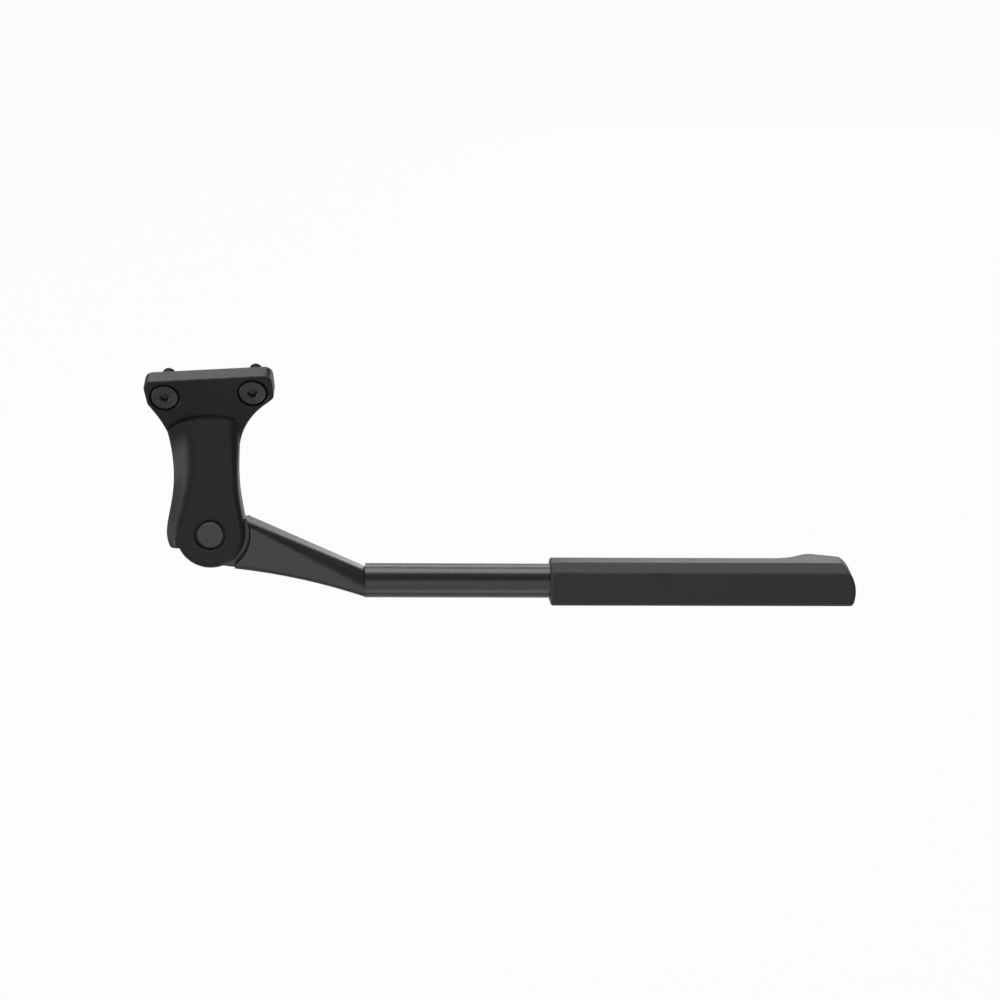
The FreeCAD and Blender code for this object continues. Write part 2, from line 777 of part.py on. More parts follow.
def placed(shape, frame):
    """Copy of a shape moved from its drawing frame into the row frame."""
    result = shape.copy()
    result.Placement = frame * result.Placement
    return result


def build():
    """Every piece by node name, in the row frame."""
    inner_washer_w = fork_depth - ear_thickness - washer_thickness
    return {
        "bracket": bracket(),
        "mounting_bolt_front": mounting_bolt(-1),
        "mounting_bolt_rear": mounting_bolt(1),
        "pivot_pin": placed(pivot_pin(), hinge_frame),
        "pin_washer": placed(tail_washer(), hinge_frame),
        "retaining_ring": placed(retaining_ring(), hinge_frame),
        "thrust_washer_outer": placed(thrust_washer(ear_thickness), hinge_frame),
        "thrust_washer_inner": placed(thrust_washer(inner_washer_w), hinge_frame),
        "detent_plunger": placed(detent_plunger(), hinge_frame),
        "detent_spring": placed(detent_spring(), hinge_frame),
        "spring_seat": placed(spring_seat(), hinge_frame),
        "hub_bush": placed(hub_bush(), leg_frame),
        "leg": placed(leg(), leg_frame),
        "foot_sleeve": placed(foot_sleeve(), leg_frame),
        "sleeve_seal": placed(sleeve_seal(), leg_frame),
        "foot_screw": placed(foot_screw(), leg_frame),
        "foot_washer": placed(foot_washer(), leg_frame),
    }


def main():
    """Write one STEP file for each piece."""
    os.makedirs("parts", exist_ok=True)
    for name, shape in build().items():
        shape.exportStep("parts/" + name + ".step")
        box = shape.BoundBox
        print(name, "solids", len(shape.Solids), "valid", shape.isValid(),
              "volume %.1f" % shape.Volume,
              "x %.2f..%.2f y %.2f..%.2f z %.2f..%.2f" % (
                  box.XMin, box.XMax, box.YMin, box.YMax, box.ZMin, box.ZMax))


main()
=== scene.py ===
"""Looks of a direct-mount bicycle side stand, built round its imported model.

Lengths are in metres and angles in degrees. The frame's origin is the middle of the bracket's
mounting face, between the bolts: +X towards the rear wheel, +Y inboard, +Z up.
"""
from __future__ import annotations

import json
import logging
import math
from dataclasses import dataclass, field
from enum import Enum
from typing import Any

import bpy
from mathutils import Matrix, Vector

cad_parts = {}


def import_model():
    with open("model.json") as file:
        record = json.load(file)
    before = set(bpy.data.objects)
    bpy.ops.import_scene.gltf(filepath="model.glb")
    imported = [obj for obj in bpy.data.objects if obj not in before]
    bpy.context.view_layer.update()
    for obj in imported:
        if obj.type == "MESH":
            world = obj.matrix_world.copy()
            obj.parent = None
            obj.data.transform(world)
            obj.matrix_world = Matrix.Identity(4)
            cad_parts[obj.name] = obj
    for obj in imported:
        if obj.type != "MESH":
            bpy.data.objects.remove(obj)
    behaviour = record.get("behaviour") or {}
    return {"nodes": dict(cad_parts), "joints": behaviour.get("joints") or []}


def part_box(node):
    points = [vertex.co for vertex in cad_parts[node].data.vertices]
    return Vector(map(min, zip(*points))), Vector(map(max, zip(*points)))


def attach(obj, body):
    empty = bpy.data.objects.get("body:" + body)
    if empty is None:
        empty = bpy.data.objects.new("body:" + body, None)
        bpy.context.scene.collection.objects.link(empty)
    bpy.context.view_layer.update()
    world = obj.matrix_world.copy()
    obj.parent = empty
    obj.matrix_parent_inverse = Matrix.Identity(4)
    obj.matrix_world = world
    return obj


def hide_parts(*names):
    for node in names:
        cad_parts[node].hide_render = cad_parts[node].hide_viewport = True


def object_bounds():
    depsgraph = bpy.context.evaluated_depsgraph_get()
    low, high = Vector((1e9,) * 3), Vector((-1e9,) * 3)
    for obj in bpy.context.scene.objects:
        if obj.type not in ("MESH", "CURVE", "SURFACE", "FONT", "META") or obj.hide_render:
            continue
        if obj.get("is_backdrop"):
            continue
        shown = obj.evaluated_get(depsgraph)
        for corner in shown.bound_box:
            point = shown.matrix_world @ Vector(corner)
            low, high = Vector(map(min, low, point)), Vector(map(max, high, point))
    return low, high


log = logging.getLogger("side_stand")

Colour = tuple[float, float, float]
Point = tuple[float, float, float]

MM = 0.001
UP: Point = (0.0, 0.0, 1.0)
ORIGIN: Point = (0.0, 0.0, 0.0)
WHITE = (1.0, 1.0, 1.0, 1.0)
# Near black that is painted into narrow gaps and recesses as shade.
PAINTED_SHADE_COLOUR: Colour = (0.004, 0.004, 0.004)

# Points nearer than this are one point.
TOUCH_DISTANCE = 1e-6
# Height of a metric thread's tooth, in pitches.
TOOTH_HEIGHT = 0.6134
# What Blender's wave texture multiplies a length by.
WAVE_RATE = 20
# Numbers of a Mix node's sockets that carry the factor and the two colours, and of its result.
MIX_FACTOR, MIX_FIRST, MIX_SECOND, MIX_RESULT = 0, 6, 7, 2
# Power of an area light, per area and radiance.
POWER_PER_RADIANCE = 4

# Noise values between which a pattern fades from none to full.
PATCH_FADE = (0.30, 0.70)
SPECK_FADE = (0.55, 0.75)
WEAR_FADE = (0.38, 0.62)
SCUFF_FADE = (0.56, 0.74)
# How well a rounded normal agrees with the flat one, at an edge that gets wear and a painted
# highlight, and off it.
EDGE_MATCH = (0.80, 0.995)
# Share of open sky over a point, deep in a gap and out of it.
GAP_OPENNESS = (0.12, 0.62)


class Grain(Enum):
    """Small relief that a finish carries."""

    ORANGE_PEEL = "orange peel of a baked coat"
    MOULD_TEXTURE = "fine spark-eroded mould texture"
    TURNED = "rings left by turning"
    DRAWN = "lines along a drawn bar or wire"
    SMOOTH = "smooth skin"


class HeadForm(Enum):
    """Shapes of screw head used on the stand."""

    LOW_CYLINDER = "low cylinder with a bevelled rim"
    BUTTON = "domed button"


RIM_SEGMENTS = {HeadForm.LOW_CYLINDER: 3, HeadForm.BUTTON: 10}


class NodeGraph:
    """Short way to write a material's node graph."""

    def __init__(self, name: str) -> None:
        """Start an empty material.

        Args:
            name: Name of the new material.
        """
        self.material = bpy.data.materials.new(name)
        self.material.use_nodes = True
        self.tree = self.material.node_tree
        self.tree.nodes.clear()

    def add(self, kind: str, values: dict[str | int, Any] | None = None, **options: Any) -> Any:
        """Add one node, with its options and its input values.

        Args:
            kind: Blender's node type.
            values: Input values, or sockets to link from, by input name or number.
            options: Properties of the node itself.

        Returns:
            The new node.
        """
        node = self.tree.nodes.new(kind)
        for key, value in options.items():
            setattr(node, key, value)
        for key, value in (values or {}).items():
            if isinstance(value, bpy.types.NodeSocket):
                self.tree.links.new(value, node.inputs[key])
            else:
                node.inputs[key].default_value = value
        return node

    def object_point(self) -> Any:
        """Read the surface point.

        Returns:
            The socket with the point in the row frame.
        """
        return self.add("ShaderNodeTexCoord").outputs["Object"]

    def noise(self, point: Any, size: float, detail: float = 2.0, rough: float = 0.5) -> Any:
        """Add a noise pattern.

        Args:
            point: Socket with the point to read.
            size: Size of one feature.
            detail: Number of finer layers.
            rough: Strength of the finer layers.

        Returns:
            The factor socket.
        """
        node = self.add("ShaderNodeTexNoise", {
            "Vector": point, "Scale": 1.0 / size, "Detail": detail, "Roughness": rough})
        return node.outputs[0]

    def span(self, factor: Any, low: float, high: float, start: float = 0.0,
             end: float = 1.0) -> Any:
        """Map a factor from start..end to low..high.

        Args:
            factor: Socket with the factor.
            low: Result at start.
            high: Result at end.
            start: Factor that gives low.
            end: Factor that gives high.

        Returns:
            The mapped socket.
        """
        node = self.add("ShaderNodeMapRange", {
            0: factor, 1: start, 2: end, 3: low, 4: high})
        return node.outputs[0]

    def mix(self, factor: Any, first: Any, second: Any) -> Any:
        """Mix two colours.

        Args:
            factor: Socket or number, 0 for first and 1 for second.
            first: Colour or socket.
            second: Colour or socket.

        Returns:
            The mixed colour's socket.
        """
        colours = [value if isinstance(value, bpy.types.NodeSocket) else (*value, 1.0)
                   for value in (first, second)]
        node = self.add("ShaderNodeMix", {
            MIX_FACTOR: factor, MIX_FIRST: colours[0], MIX_SECOND: colours[1]}, data_type="RGBA")
        return node.outputs[MIX_RESULT]

    def multiply(self, first: Any, second: Any) -> Any:
        """Multiply two numbers.

        Args:
            first: Number or socket.
            second: Number or socket.

        Returns:
            The product's socket.
        """
        return self.add("ShaderNodeMath", {0: first, 1: second}, operation="MULTIPLY").outputs[0]

    def edge_mask(self, radius: float) -> Any:
        """Find the sharp outer edges, where a finish wears first and where a highlight is painted.

        Args:
            radius: Width of the band along an edge.

        Returns:
            A socket that is 0 on flat surfaces and rises along edges.
        """
        rounded = self.add("ShaderNodeBevel", {"Radius": radius}, samples=4).outputs[0]
        flat = self.add("ShaderNodeNewGeometry").outputs["Normal"]
        match = self.add("ShaderNodeVectorMath", {0: rounded, 1: flat}, operation="DOT_PRODUCT")
        return self.span(match.outputs["Value"], 1.0, 0.0, *EDGE_MATCH)

    def painted_gap_shade_mask(self, reach: float) -> Any:
        """Find narrow gaps and recesses, where shade is painted into the colour.

        Args:
            reach: How near the other wall of a gap has to be.

        Returns:
            A socket that is 0 on open surfaces and rises to 1 deep in a gap.
        """
        openness = self.add("ShaderNodeAmbientOcclusion", {"Distance": reach}, samples=6)
        return self.span(openness.outputs["AO"], 1.0, 0.0, *GAP_OPENNESS)


class WorldGraph(NodeGraph):
    """The node graph of a new world."""

    def __init__(self, name: str) -> None:
        """Start a world with no nodes and put it round the scene.

        Args:
            name: Name of the world.
        """
        world = bpy.data.worlds.new(name)
        world.use_nodes = True
        bpy.context.scene.world = world
        self.tree = world.node_tree
        self.tree.nodes.clear()


@dataclass(frozen=True)
class Finish:
    """A surface finish: colour, gloss, relief, edge wear with a painted edge highlight, and
    painted shade in narrow gaps.

    Attributes:
        name: Name of its material.
        colour: Main colour.
        tint: Second colour, which patches and specks fade to.
        roughness: Mean roughness.
        roughness_swing: How far patches move the roughness either way.
        metallic: 1 for bare metal, else 0.
        specular: Strength of the mirror part.
        grain: Kind of small relief.
        grain_size: Size of one grain.
        grain_depth: Height of the relief.
        grain_strength: Share of the relief that shows.
        patch_size: Size of one patch of tint.
        edge_wear_and_highlight_colour: Colour of worn edges, which also paints an edge highlight.
        edge_radius: Width of the band where edges wear and get a painted highlight.
        edge_wear_and_highlight: Share of the edge colour on an edge, as wear and as painted
            highlight.
        scuff: How much rub marks add to the roughness.
        painted_gap_shade: Share of painted shade in a narrow gap.
        painted_gap_shade_reach: Width of gap that still gets painted shade.
        drawn_stretch: Rate at which drawn lines change along the bar, against across it.
        speck_ratio: Size of a speck, in grains.
        speck_share: Share of tint in a speck.
        least_wear: Share of wear where the edge is kept best.
        scuff_size: Size of a rub mark.
        scuff_turn: Turn of the rub marks, in radians.
        scuff_squeeze: How much finer the rub marks are along each axis.
    """

    name: str
    colour: Colour
    tint: Colour
    roughness: float
    roughness_swing: float = 0.04
    metallic: float = 0.0
    specular: float = 0.5
    grain: Grain = Grain.ORANGE_PEEL
    grain_size: float = 0.6 * MM
    grain_depth: float = 0.01 * MM
    grain_strength: float = 0.3
    patch_size: float = 14 * MM
    edge_wear_and_highlight_colour: Colour = (0.05, 0.05, 0.05)
    edge_radius: float = 0.25 * MM
    edge_wear_and_highlight: float = 0.3
    scuff: float = 0.0
    painted_gap_shade: float = 0.8
    painted_gap_shade_reach: float = 3.0 * MM
    drawn_stretch: float = 0.03
    speck_ratio: float = 2.5
    speck_share: float = 0.35
    least_wear: float = 0.25
    scuff_size: float = 5 * MM
    scuff_turn: Point = (0.3, 0.5, 0.2)
    scuff_squeeze: Point = (1.0, 6.0, 6.0)

    def relief(self, graph: NodeGraph, point: Any, axis: Vector | Point,
               centre: Vector | Point) -> Any:
        """Build the height pattern of this finish's grain.

        Args:
            graph: Graph to build in.
            point: Socket with the surface point.
            axis: Direction that turned rings go round, or that drawn lines follow.
            centre: A point on that axis.

        Returns:
            The height socket.
        """
        turn = Vector(axis).to_track_quat("Z", "Y").to_euler()
        local = graph.add("ShaderNodeMapping", {
            "Vector": point, "Location": centre, "Rotation": turn}, vector_type="TEXTURE")
        spot = local.outputs[0]
        if self.grain is Grain.TURNED:
            rings = graph.add("ShaderNodeTexWave", {
                "Vector": spot, "Scale": 1.0 / (WAVE_RATE * self.grain_size), "Distortion": 0.4,
                "Detail": 1.0, "Detail Scale": 0.5},
                wave_type="RINGS", rings_direction="Z", wave_profile="SIN")
            return rings.outputs["Fac"]
        if self.grain is Grain.DRAWN:
            stretched = graph.add("ShaderNodeMapping", {
                "Vector": spot, "Scale": (1.0, 1.0, self.drawn_stretch)}, vector_type="POINT")
            return graph.noise(stretched.outputs[0], self.grain_size, detail=3.0)
        if self.grain is Grain.MOULD_TEXTURE:
            cells = graph.add("ShaderNodeTexVoronoi", {
                "Vector": spot, "Scale": 1.0 / self.grain_size, "Randomness": 1.0},
                feature="SMOOTH_F1").outputs["Distance"]
            fine = graph.noise(spot, self.grain_size * 0.6, detail=3.0, rough=0.6)
            return graph.mix(0.5, cells, fine)
        if self.grain is Grain.SMOOTH:
            return graph.noise(spot, self.grain_size * 3, detail=1.0)
        return graph.noise(spot, self.grain_size, detail=3.0, rough=0.55)

    def material(self, suffix: str = "", axis: Vector | Point = UP,
                 centre: Vector | Point = ORIGIN) -> bpy.types.Material:
        """Build the material.

        Args:
            suffix: Ending of the material's name, where one finish is turned for a piece.
            axis: Direction that the grain follows or goes round.
            centre: A point on that axis.

        Returns:
            The new material.
        """
        graph = NodeGraph(self.name + suffix)
        point = graph.object_point()
        patches = graph.noise(point, self.patch_size, detail=4.0, rough=0.6)
        specks = graph.noise(point, self.grain_size * self.speck_ratio, detail=2.0)
        # Edges are lightened: partly edge wear, partly a painted edge highlight.
        worn_and_highlit = graph.multiply(graph.edge_mask(self.edge_radius),
                              graph.span(patches, self.least_wear, 1.0, *WEAR_FADE))
        worn_and_highlit = graph.multiply(worn_and_highlit, self.edge_wear_and_highlight)
        base = graph.mix(graph.span(patches, 0.0, 1.0, *PATCH_FADE), self.colour, self.tint)
        base = graph.mix(graph.span(specks, 0.0, self.speck_share, *SPECK_FADE), base, self.tint)
        base = graph.mix(worn_and_highlit, base, self.edge_wear_and_highlight_colour)
        # Painted shade: narrow gaps and recesses get a near-black base colour, standing in for the
        # shade that falls there.
        gap = graph.multiply(graph.painted_gap_shade_mask(self.painted_gap_shade_reach), self.painted_gap_shade)
        base = graph.mix(gap, base, PAINTED_SHADE_COLOUR)
        rough = graph.span(patches, self.roughness - self.roughness_swing,
                           self.roughness + self.roughness_swing, *PATCH_FADE)
        if self.scuff:
            rough = self.scuffed(graph, point, rough)
        height = self.relief(graph, point, axis, centre)
        bump = graph.add("ShaderNodeBump", {
            "Height": height, "Strength": self.grain_strength, "Distance": self.grain_depth})
        shader = graph.add("ShaderNodeBsdfPrincipled", {
            "Base Color": base, "Roughness": rough, "Metallic": self.metallic,
            "Specular IOR Level": self.specular, "Normal": bump.outputs[0]})
        graph.add("ShaderNodeOutputMaterial", {"Surface": shader.outputs[0]})
        return graph.material

    def scuffed(self, graph: NodeGraph, point: Any, rough: Any) -> Any:
        """Add faint rub marks to a roughness.

        Args:
            graph: Graph to build in.
            point: Socket with the surface point.
            rough: Socket with the roughness so far.

        Returns:
            The roughness socket with the marks.
        """
        warped = graph.add("ShaderNodeMapping", {
            "Vector": point, "Rotation": self.scuff_turn, "Scale": self.scuff_squeeze})
        marks = graph.noise(warped.outputs[0], self.scuff_size, detail=5.0, rough=0.7)
        lift = graph.span(marks, 0.0, self.scuff, *SCUFF_FADE)
        return graph.add("ShaderNodeMath", {0: rough, 1: lift}, operation="ADD").outputs[0]


CAST_COAT = Finish(
    "cast_coat", colour=(0.0072, 0.0074, 0.0076), tint=(0.0100, 0.0101, 0.0104),
    roughness=0.38, roughness_swing=0.03, specular=0.19,
    grain_size=0.55 * MM, grain_depth=0.02 * MM, grain_strength=0.5, scuff=0.10,
    edge_wear_and_highlight_colour=(0.042, 0.042, 0.042), edge_radius=0.7 * MM, edge_wear_and_highlight=0.6,
    painted_gap_shade=0.5, painted_gap_shade_reach=1.0 * MM)
FORGED_COAT = Finish(
    "forged_coat", colour=(0.0088, 0.0090, 0.0088), tint=(0.0115, 0.0117, 0.0113),
    roughness=0.25, roughness_swing=0.02, specular=0.46,
    grain_size=1.4 * MM, grain_depth=0.006 * MM, grain_strength=0.12, edge_wear_and_highlight=0.2, scuff=0.05,
    painted_gap_shade=0.95, painted_gap_shade_reach=6.0 * MM)
MOULDED_NYLON = Finish(
    "moulded_nylon", colour=(0.0240, 0.0244, 0.0240), tint=(0.0285, 0.0289, 0.0285),
    roughness=0.42, roughness_swing=0.03, specular=0.14,
    grain=Grain.MOULD_TEXTURE, grain_size=0.35 * MM, grain_depth=0.012 * MM, grain_strength=0.5,
    edge_wear_and_highlight_colour=(0.03, 0.03, 0.03), edge_wear_and_highlight=0.2, scuff=0.10)
BLACK_OXIDE = Finish(
    "black_oxide", colour=(0.018, 0.018, 0.019), tint=(0.028, 0.027, 0.027),
    roughness=0.36, roughness_swing=0.05, specular=0.34,
    grain=Grain.TURNED, grain_size=0.12 * MM, grain_depth=0.006 * MM, grain_strength=0.4,
    patch_size=3 * MM, edge_wear_and_highlight_colour=(0.16, 0.15, 0.14), edge_radius=0.18 * MM, edge_wear_and_highlight=0.6)
SATIN_PIN = Finish(
    "satin_pin", colour=(0.030, 0.030, 0.030), tint=(0.036, 0.036, 0.035),
    roughness=0.38, roughness_swing=0.04, specular=0.34,
    grain=Grain.TURNED, grain_size=0.16 * MM, grain_depth=0.006 * MM, grain_strength=0.4,
    patch_size=4 * MM, edge_wear_and_highlight_colour=(0.14, 0.14, 0.13), edge_radius=0.2 * MM, edge_wear_and_highlight=0.5)
PLATED_STEEL = Finish(
    "plated_steel", colour=(0.50, 0.50, 0.49), tint=(0.58, 0.58, 0.56),
    roughness=0.30, roughness_swing=0.05, metallic=1.0,
    grain=Grain.TURNED, grain_size=0.1 * MM, grain_depth=0.004 * MM, patch_size=3 * MM,
    edge_wear_and_highlight_colour=(0.7, 0.7, 0.68), edge_wear_and_highlight=0.5)
SPRING_STEEL = Finish(
    "spring_steel", colour=(0.16, 0.16, 0.17), tint=(0.22, 0.22, 0.23),
    roughness=0.34, roughness_swing=0.05, metallic=1.0,
    grain=Grain.DRAWN, grain_size=0.12 * MM, grain_depth=0.004 * MM, patch_size=3 * MM,
    edge_wear_and_highlight_colour=(0.45, 0.45, 0.45), edge_wear_and_highlight=0.5)
HARD_STEEL = Finish(
    "hard_steel", colour=(0.34, 0.34, 0.35), tint=(0.42, 0.42, 0.42),
    roughness=0.28, roughness_swing=0.04, metallic=1.0,
    grain=Grain.TURNED, grain_size=0.1 * MM, grain_depth=0.003 * MM, patch_size=3 * MM,
    edge_wear_and_highlight_colour=(0.55, 0.55, 0.55), edge_wear_and_highlight=0.4)
BEARING_BRONZE = Finish(
    "bearing_bronze", colour=(0.42, 0.26, 0.11), tint=(0.50, 0.33, 0.16),
    roughness=0.34, roughness_swing=0.05, metallic=1.0,
    grain=Grain.TURNED, grain_size=0.1 * MM, grain_depth=0.004 * MM, patch_size=3 * MM,
    edge_wear_and_highlight_colour=(0.62, 0.46, 0.26), edge_wear_and_highlight=0.5)
RUBBER = Finish(
    "seal_rubber", colour=(0.010, 0.010, 0.010), tint=(0.014, 0.014, 0.014),
    roughness=0.62, roughness_swing=0.05, specular=0.4,
    grain=Grain.SMOOTH, grain_size=0.3 * MM, grain_depth=0.01 * MM, patch_size=5 * MM,
    edge_wear_and_highlight_colour=(0.02, 0.02, 0.02), edge_wear_and_highlight=0.1)


def clear_selection() -> None:
    """Leave nothing selected, so that an operator acts on the new piece alone."""
    bpy.ops.object.select_all(action="DESELECT")


def activate(piece: bpy.types.Object) -> None:
    """Select one object alone and make it the active one.

    Args:
        piece: Object that the next operator acts on.
    """
    clear_selection()
    piece.select_set(True)
    bpy.context.view_layer.objects.active = piece


def dress(piece: bpy.types.Object, material: bpy.types.Material) -> None:
    """Give an object one material.

    Args:
        piece: Mesh object to dress.
        material: Material for all its faces.
    """
    if piece.material_slots:
        for holder in piece.material_slots:
            holder.material = material
    else:
        piece.data.materials.append(material)


def carve(piece: bpy.types.Object, tool: bpy.types.Object, operation: str) -> None:
    """Combine a piece with a tool body and delete the tool.

    Args:
        piece: Object that keeps the result.
        tool: Object that cuts, meets or joins it.
        operation: DIFFERENCE, INTERSECT or UNION.
    """
    activate(piece)
    step = piece.modifiers.new("carve", "BOOLEAN")
    step.operation = operation
    step.solver = "EXACT"
    step.object = tool
    bpy.ops.object.modifier_apply(modifier=step.name)
    bpy.data.objects.remove(tool, do_unlink=True)


def smooth(piece: bpy.types.Object, angle: float) -> None:
    """Shade an object smooth and keep its sharp edges.

    Args:
        piece: Mesh object to shade.
        angle: Angle in degrees from which an edge stays sharp.
    """
    activate(piece)
    bpy.ops.object.shade_smooth_by_angle(angle=math.radians(angle))


def settle(piece: bpy.types.Object, place: Matrix) -> None:
    """Move a finished mesh to its place and leave its object at the origin.

    Args:
        piece: Object modelled round its own Z axis.
        place: Its place in the row frame.
    """
    piece.data.transform(place @ piece.matrix_world)
    piece.matrix_world = Matrix.Identity(4)
    piece.data.update()


def cylinder(radius: float, low: float, high: float, sides: int) -> bpy.types.Object:
    """Add a cylinder on the Z axis.

    Args:
        radius: Its radius.
        low: Z of its lower end.
        high: Z of its upper end.
        sides: Number of sides.

    Returns:
        The new object.
    """
    clear_selection()
    bpy.ops.mesh.primitive_cylinder_add(vertices=sides, radius=radius, depth=high - low,
                                        location=(0, 0, (low + high) / 2))
    piece = bpy.context.object
    bpy.ops.object.transform_apply(location=True, rotation=True, scale=True)
    return piece


def cone(radius_low: float, radius_high: float, low: float, high: float,
         sides: int) -> bpy.types.Object:
    """Add a truncated cone on the Z axis.

    Args:
        radius_low: Radius at its lower end.
        radius_high: Radius at its upper end.
        low: Z of its lower end.
        high: Z of its upper end.
        sides: Number of sides.

    Returns:
        The new object.
    """
    clear_selection()
    bpy.ops.mesh.primitive_cone_add(vertices=sides, radius1=radius_low, radius2=radius_high,
                                    depth=high - low, location=(0, 0, (low + high) / 2))
    piece = bpy.context.object
    bpy.ops.object.transform_apply(location=True, rotation=True, scale=True)
    return piece


@dataclass
class SocketScrew:
    """Machine screw with a hexagon socket and a real thread, modelled along +Z.

    The head's top is at z = 0 and the shank runs to z = length.

    Attributes:
        name: Name of the finished piece.
        form: Shape of the head.
        head_radius: Radius of the head.
        head_height: Height of the head.
        shank_radius: Radius over the thread's crests.
        length: From the head's top to the tip.
        socket_width: Width across the hexagon's flats.
        socket_depth: Depth of the hexagon.
        pitch: Pitch of the thread.
        thread_start: Where the thread begins.
        plain_radius: Radius of the shank above the thread.
        rim: Size of the round or bevel at the head's rim.
        tip_bevel: Size of the bevel at the tip.
        socket_lead: Depth of the bevel at the socket's mouth.
        drill_share: Width of the drilled bottom, against the flats.
        drill_slope: Depth of the drilled bottom, against half the flats' width.
        steps: Sides of one turn of the thread.
        smooth_angle: Angle from which an edge stays sharp.
    """

    name: str
    form: HeadForm
    head_radius: float
    head_height: float
    shank_radius: float
    length: float
    socket_width: float
    socket_depth: float
    pitch: float
    thread_start: float
    plain_radius: float
    rim: float = 0.6 * MM
    tip_bevel: float = 0.8 * MM
    socket_lead: float = 0.25 * MM
    drill_share: float = 0.96
    drill_slope: float = 0.5
    steps: int = 40
    smooth_angle: float = 32.0

    @property
    def root_radius(self) -> float:
        """Radius at the bottom of the thread."""
        return self.shank_radius - TOOTH_HEIGHT * self.pitch

    def head(self) -> bpy.types.Object:
        """Model the head with its rim and its socket.

        Returns:
            The head object.
        """
        body = cylinder(self.head_radius, 0.0, self.head_height, sides=96)
        activate(body)
        bpy.ops.object.mode_set(mode="EDIT")
        bpy.ops.mesh.select_mode(type="EDGE")
        bpy.ops.mesh.select_all(action="DESELECT")
        bpy.ops.object.mode_set(mode="OBJECT")
        for edge in body.data.edges:
            edge.select = all(body.data.vertices[i].co.z < TOUCH_DISTANCE for i in edge.vertices)
        bpy.ops.object.mode_set(mode="EDIT")
        bpy.ops.mesh.bevel(offset=self.rim, segments=RIM_SEGMENTS[self.form], profile=0.5)
        bpy.ops.object.mode_set(mode="OBJECT")
        carve(body, self.socket(), "DIFFERENCE")
        return body

    def socket(self) -> bpy.types.Object:
        """Model the tool that cuts the socket: hexagon, drilled bottom and a lead-in bevel.

        Returns:
            The tool object.
        """
        corner = self.socket_width / math.sqrt(3)
        flat = self.socket_width / 2
        above = 0.5 * MM
        inside = 0.12 * MM
        overlap = 0.02 * MM
        tool = cylinder(corner, -above, self.socket_depth, sides=6)
        drill = cone(flat * self.drill_share, 0.0, self.socket_depth - overlap,
                     self.socket_depth + flat * self.drill_slope, sides=32)
        carve(tool, drill, "UNION")
        mouth = cone(corner + self.socket_lead + above, corner - inside, -above,
                     self.socket_lead + inside, sides=48)
        carve(tool, mouth, "UNION")
        return tool

    def thread(self) -> bpy.types.Object:
        """Model the threaded part of the shank by turning one tooth up a screw path.

        Returns:
            The closed threaded rod, its crests at the shank's radius.
        """
        root = self.root_radius
        crest = self.pitch / 8
        valley = self.pitch / 4
        flank = (self.pitch - crest - valley) / 2
        outline = [(root, 0.0), (root, valley), (self.shank_radius, valley + flank),
                   (self.shank_radius, valley + flank + crest), (root, self.pitch)]
        low = self.thread_start - self.pitch
        turns = int(math.ceil((self.length - low) / self.pitch)) + 1
        mesh = bpy.data.meshes.new(self.name + "_tooth")
        mesh.from_pydata([(r, 0.0, low + z) for r, z in outline],
                         [(i, i + 1) for i in range(len(outline) - 1)], [])
        rod = bpy.data.objects.new(self.name + "_thread", mesh)
        bpy.context.scene.collection.objects.link(rod)
        activate(rod)
        screw = rod.modifiers.new("screw", "SCREW")
        screw.screw_offset = self.pitch
        screw.iterations = turns
        screw.steps = self.steps
        screw.render_steps = self.steps
        screw.use_merge_vertices = True
        screw.merge_threshold = TOUCH_DISTANCE
        bpy.ops.object.modifier_apply(modifier=screw.name)
        bpy.ops.object.mode_set(mode="EDIT")
        bpy.ops.mesh.select_all(action="SELECT")
        bpy.ops.mesh.remove_doubles(threshold=TOUCH_DISTANCE)
        for height, below in ((self.thread_start, True), (self.length, False)):
            bpy.ops.mesh.select_all(action="SELECT")
            bpy.ops.mesh.bisect(plane_co=(0, 0, height), plane_no=(0, 0, 1), use_fill=True,
                                clear_inner=below, clear_outer=not below)
        bpy.ops.mesh.select_all(action="SELECT")
        bpy.ops.mesh.normals_make_consistent(inside=False)
        bpy.ops.object.mode_set(mode="OBJECT")
        spare = 0.4 * MM
        bevel_start = self.length - self.tip_bevel - spare
        limit = cone(self.shank_radius + spare, self.shank_radius - self.tip_bevel,
                     bevel_start, self.length, sides=64)
        sleeve = cylinder(self.shank_radius + spare, self.thread_start - 1 * MM, bevel_start,
                          sides=64)
        carve(limit, sleeve, "UNION")
        carve(rod, limit, "INTERSECT")
        return rod

    def build(self, place: Matrix) -> bpy.types.Object:
        """Model the whole screw.

        Args:
            place: Where the top of its head lies, with +Z along the shank.

        Returns:
            The finished screw at its place.
        """
        piece = self.head()
        piece.name = self.name
        piece.data.name = self.name
        in_head = self.head_height * 0.8
        overlap = 0.01 * MM
        plain = cylinder(self.plain_radius, in_head, self.thread_start, sides=64)
        run_out = cone(self.plain_radius, self.root_radius, self.thread_start - overlap,
                       self.thread_start + self.plain_radius - self.root_radius, sides=64)
        carve(piece, plain, "UNION")
        carve(piece, run_out, "UNION")
        carve(piece, self.thread(), "UNION")
        settle(piece, place)
        smooth(piece, self.smooth_angle)
        return piece


@dataclass
class BracketCasting:
    """The cast bracket: plate, neck and forked hub."""

    node: str = "bracket"

    def build(self, nodes: dict[str, bpy.types.Object]) -> list[bpy.types.Object]:
        """Dress the casting.

        Args:
            nodes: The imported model's objects by node name.

        Returns:
            The pieces of this sub-assembly.
        """
        casting = nodes[self.node]
        dress(casting, CAST_COAT.material())
        return [casting]


